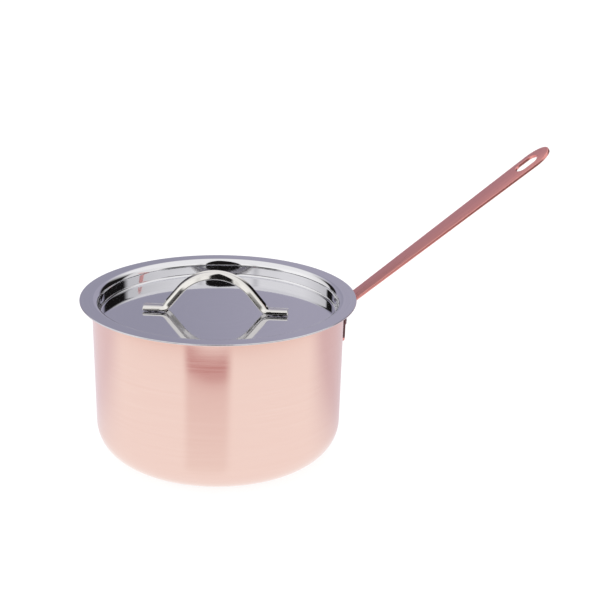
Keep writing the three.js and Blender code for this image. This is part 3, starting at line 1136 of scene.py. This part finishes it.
web = block("handle_web", (2 * MM, ROOT_WIDTH - MM, 2 * MM), (root, 0, ROOT_HEIGHT))
web_inner = along_bar(ROOT_REACH / 4) - Vector((0, 0, WEB_DROP))
web_corners = (
    ((-1, 1), along_bar(0)),
    ((1, 1), along_bar(ROOT_REACH)),
    ((1, -1), web_inner),
    ((-1, -1), Vector((root, 0, ROOT_HEIGHT - ROOT_DROP))),
)
for (side, level), place in web_corners:
    corner = Vector((root + side * MM, 0, ROOT_HEIGHT + level * MM))
    move = place - corner
    select_where(web, "VERT", lambda p: math.hypot(p.x - corner.x, p.z - corner.z) < 20 * NEAR)
    bpy.ops.transform.translate(value=(move.x, 0, move.z))
select_where(web, "EDGE", lambda p: math.hypot(p.x - web_inner.x, p.z - web_inner.z) < 20 * NEAR)
bpy.ops.mesh.bevel(offset=WEB_FILLET, segments=8, affect="EDGES", clamp_overlap=False)
face_outwards(web)

# %% [markdown]
# Booleans join web, bar and plate into one forging. Before the plate is joined, a cone in the shape of
# the pan's outside trims the bar's end to the wall.

# %% One forging, trimmed to the wall
TRIM_SPARE = 10 * MM
cut(bar, web, "UNION")
deselect_all()
trim_low = plate_low - TRIM_SPARE
trim_high = RIM_HEIGHT + TRIM_SPARE
bpy.ops.mesh.primitive_cone_add(
    vertices=SIDES,
    radius1=wall_radius(trim_low) + PLATE_GAP,
    radius2=wall_radius(trim_high) + PLATE_GAP,
    depth=trim_high - trim_low,
    location=(0, 0, (trim_low + trim_high) / 2),
)
pan_tool = name_new("pan_tool")
apply_place(pan_tool)
cut(bar, pan_tool, "DIFFERENCE")
cut(bar, plate, "UNION")
print("handle", len(bar.data.polygons), "faces")

# %% [markdown]
# ### The rivets
# A solid rivet has a domed head on each side of the wall. One is turned along its own axis, ring by
# ring, from the inner dome out to the outer one, and a copy with its own mesh goes to each seat.

# %% One rivet and its three seats
RIVET_SHANK = 2.1 * MM
RIVET_HEAD = 3.6 * MM
HEAD_HEIGHT = 1.1 * MM
HEAD_EDGE = 0.25 * MM
SEAT_SHARE = 0.97
SEAT_GAP = 0.04 * MM
RIVET_SIDES = 48
DOME_STEPS = 7
DOME_TURN = math.radians(84)
WALL_DEPTH = LINING_DEPTH + STEEL_THICKNESS
RIVET_SEATS = (
    ("rivet_near", -10.8 * MM, 89.8 * MM),
    ("rivet_far", 10.8 * MM, 89.8 * MM),
    ("rivet_low", 0, 82 * MM),
)
outer_seat = PLATE_GAP + PLATE_THICKNESS + SEAT_GAP
inner_seat = -WALL_DEPTH - SEAT_GAP


def dome(seat, way):
    """Rings of a domed head, from its seat out to its top: (height, radius)."""
    rings = [(seat, RIVET_HEAD * SEAT_SHARE), (seat + way * HEAD_EDGE, RIVET_HEAD)]
    for step in range(1, DOME_STEPS + 1):
        turn = step / DOME_STEPS * DOME_TURN
        rise = HEAD_EDGE + (HEAD_HEIGHT - HEAD_EDGE) * math.sin(turn)
        rings.append((seat + way * rise, RIVET_HEAD * math.cos(turn)))
    return rings


def turned_rivet():
    """A rivet along Z, its rings extruded one after another from the inner dome to the outer one."""
    rings = list(reversed(dome(inner_seat, -1)))
    rings += [(inner_seat, RIVET_SHANK), (outer_seat, RIVET_SHANK)]
    rings += dome(outer_seat, 1)
    height, radius = rings[0]
    deselect_all()
    bpy.ops.mesh.primitive_circle_add(
        vertices=RIVET_SIDES, radius=radius, fill_type="NGON", location=(0, 0, height)
    )
    rivet = name_new("rivet")
    apply_place(rivet)
    edit(rivet, "FACE")
    bpy.ops.mesh.select_all(action="SELECT")
    for next_height, next_radius in rings[1:]:
        bpy.ops.mesh.extrude_region_move(TRANSFORM_OT_translate={"value": (0, 0, next_height - height)})
        growth = next_radius / radius
        bpy.ops.transform.resize(value=(growth, growth, 1), center_override=(0, 0, next_height))
        height, radius = next_height, next_radius
    face_outwards(rivet)
    return rivet


pattern = turned_rivet()
smooth(pattern, 40)
pattern.data.materials.append(forged_steel)
for node, across, height in RIVET_SEATS:
    rivet = bpy.data.objects.new(node.replace("rivet", "steel_rivet"), pattern.data.copy())
    bpy.context.scene.collection.objects.link(rivet)
    turn = math.asin(across / wall_radius(height))
    rivet.matrix_world = (
        Matrix.Rotation(turn, 4, "Z")
        @ Matrix.Translation((wall_radius(height), 0, height))
        @ Matrix.Rotation(math.pi / 2, 4, "Y")
    )
    apply_place(rivet)
    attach(rivet, "pan")
    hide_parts(node)
print("rivets:", len(RIVET_SEATS), "of", len(pattern.data.polygons), "faces each")
bpy.data.objects.remove(pattern)

# %% [markdown]
# ## The handle's finish and the welds
# The forging gets its plated copper, and the faces at the plate's edge get the dark copper that is
# painted shade, for the shadow in the gap against the wall. The welds keep their imported meshes,
# because almost nothing of them shows, and get their metal through their material slots.

# %% Finishing
PAINTED_SHADE_BAND = 0.7 * MM
smooth(bar, 30)
bar.data.materials.append(plated_copper)
bar.data.materials.append(plate_edge_painted_shade)
# The faces at the plate's edge get the dark copper: painted shade for the shadow in the gap against the
# wall.
select_where(bar, "FACE", lambda p: abs(p.y) > plate_half - PAINTED_SHADE_BAND or p.z < plate_low + PAINTED_SHADE_BAND)
bar.active_material_index = 1
bpy.ops.object.material_slot_assign()
deselect_all()
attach(bar, "pan")
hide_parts("pan_handle")
for node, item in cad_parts.items():
    if node.startswith("weld"):
        item.material_slots[0].material = weld_metal
